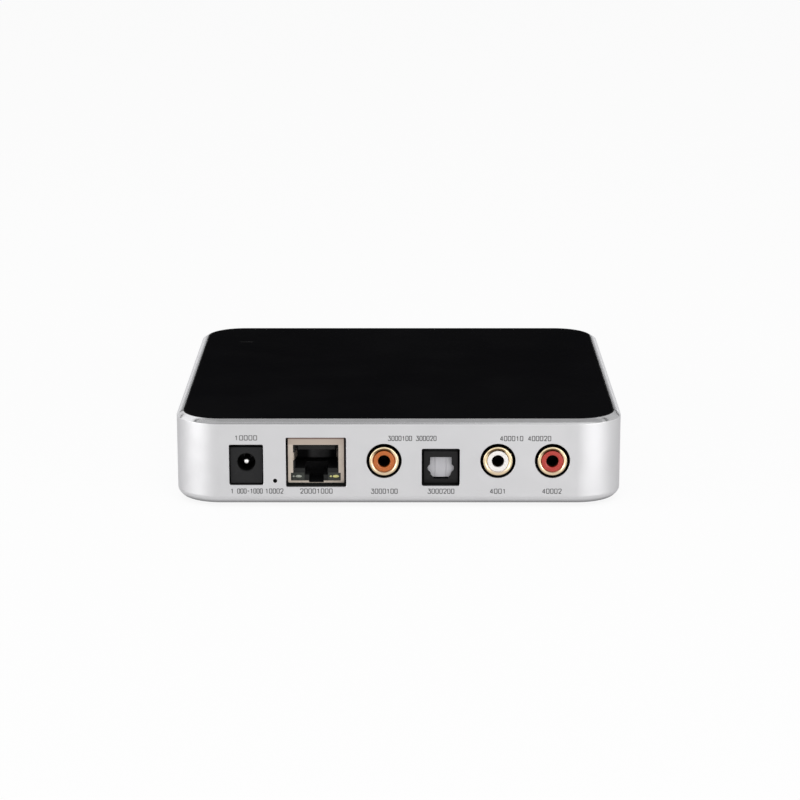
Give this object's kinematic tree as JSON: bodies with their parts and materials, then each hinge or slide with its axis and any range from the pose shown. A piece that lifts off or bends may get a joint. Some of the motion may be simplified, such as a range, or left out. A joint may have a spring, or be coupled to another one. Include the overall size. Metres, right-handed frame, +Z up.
{
  "type": "network music streamer",
  "caption": "Low rounded-square aluminium case with a gloss black top and a row of power, network, phono and optical sockets.",
  "frame": {"origin": "on the resting surface, under the middle of the case", "axes": "+Z up; -Y out of the wall with the sockets; +X to the right when that wall is faced"},
  "size_m": [0.125, 0.1253, 0.025],
  "materials": {
    "anodised_aluminium": "satin anodised, polished bevel",
    "black_panel": "high gloss",
    "foam": "closed-cell foam",
    "clear_pipe": "clear moulding",
    "lamp": "moulded lamp",
    "dark_plate": "fine matt powder coat",
    "black_rubber": "matt",
    "black_screw": "black zinc",
    "brass_standoff": "turned",
    "bright_screw": "zinc",
    "circuit_board": "black solder resist",
    "socket_black": "moulded, fine spark texture",
    "bright_pin": "nickel plated",
    "tinned_shell": "satin nickel",
    "gold_contact": "gold plated",
    "light_window": "clear moulding",
    "pale_gold": "pale gold plating",
    "orange_insert": "moulded",
    "white_insert": "moulded",
    "red_insert": "moulded",
    "shutter_grey": "moulded",
    "spring_steel": "drawn wire",
    "emitter_resin": "smoky resin",
    "chip_black": "moulded resin",
    "pad_grey": "soft",
    "choke_grey": "pressed powder",
    "can_aluminium": "bright can",
    "aerial_board": "thin board",
    "lead_jacket": "smooth jacket"
  },
  "bodies": {
    "case": {"enclosure_frame": "anodised_aluminium", "top_panel": "black_panel", "panel_adhesive": "foam", "status_light_pipe": "clear_pipe", "status_light": "lamp", "base_plate": "dark_plate", "base_screws": "black_screw", "board_standoffs": "brass_standoff", "main_board": "circuit_board", "board_screws": "bright_screw", "power_socket_body": "socket_black", "power_socket_pin": "bright_pin", "power_socket_leaf": "bright_pin", "reset_switch": "chip_black", "ethernet_shield": "tinned_shell", "ethernet_housing": "socket_black", "ethernet_contacts": "gold_contact", "ethernet_light_left": "light_window", "ethernet_light_right": "light_window", "optical_housing": "socket_black", "shutter_pin": "spring_steel", "shutter_spring": "spring_steel", "optical_emitter": "emitter_resin", "processor": "chip_black", "thermal_pad": "pad_grey", "processor_shield": "tinned_shell", "memory_chip": "chip_black", "flash_chip": "chip_black", "radio_module": "tinned_shell", "antenna": "aerial_board", "antenna_lead": "lead_jacket", "audio_converter": "chip_black", "line_driver": "chip_black", "line_transformer": "chip_black", "power_inductors": "choke_grey", "filter_capacitors": "can_aluminium", "crystals": "can_aluminium", "coaxial_jack_body": "socket_black", "coaxial_jack_barrel": "pale_gold", "coaxial_jack_insert": "orange_insert", "coaxial_jack_contact": "gold_contact", "left_jack_body": "socket_black", "left_jack_barrel": "pale_gold", "left_jack_insert": "white_insert", "left_jack_contact": "gold_contact", "right_jack_body": "socket_black", "right_jack_barrel": "pale_gold", "right_jack_insert": "red_insert", "right_jack_contact": "gold_contact", "foot_rear_left": "black_rubber", "foot_front_left": "black_rubber", "foot_rear_right": "black_rubber", "foot_front_right": "black_rubber"},
    "optical_shutter": {"optical_shutter": "shutter_grey"},
    "reset_button": {"reset_button": "socket_black"}
  },
  "joints": [
    {"name": "shutter_hinge", "type": "hinge", "parent": "case", "child": "optical_shutter", "pos_m": [0.01165, -0.05948, 0.0157], "axis": [1, 0, 0], "range_deg": [0, 85], "stiffness_Nm_per_rad": 0.0002, "springref_deg": -34.38, "deforming": ["shutter_spring"]},
    {"name": "reset_press", "type": "slide", "parent": "case", "child": "reset_button", "axis": [0, 1, 0], "range_m": [0, 0.00025], "stiffness_N_per_m": 1000, "springref_m": -0.0001}
  ]
}
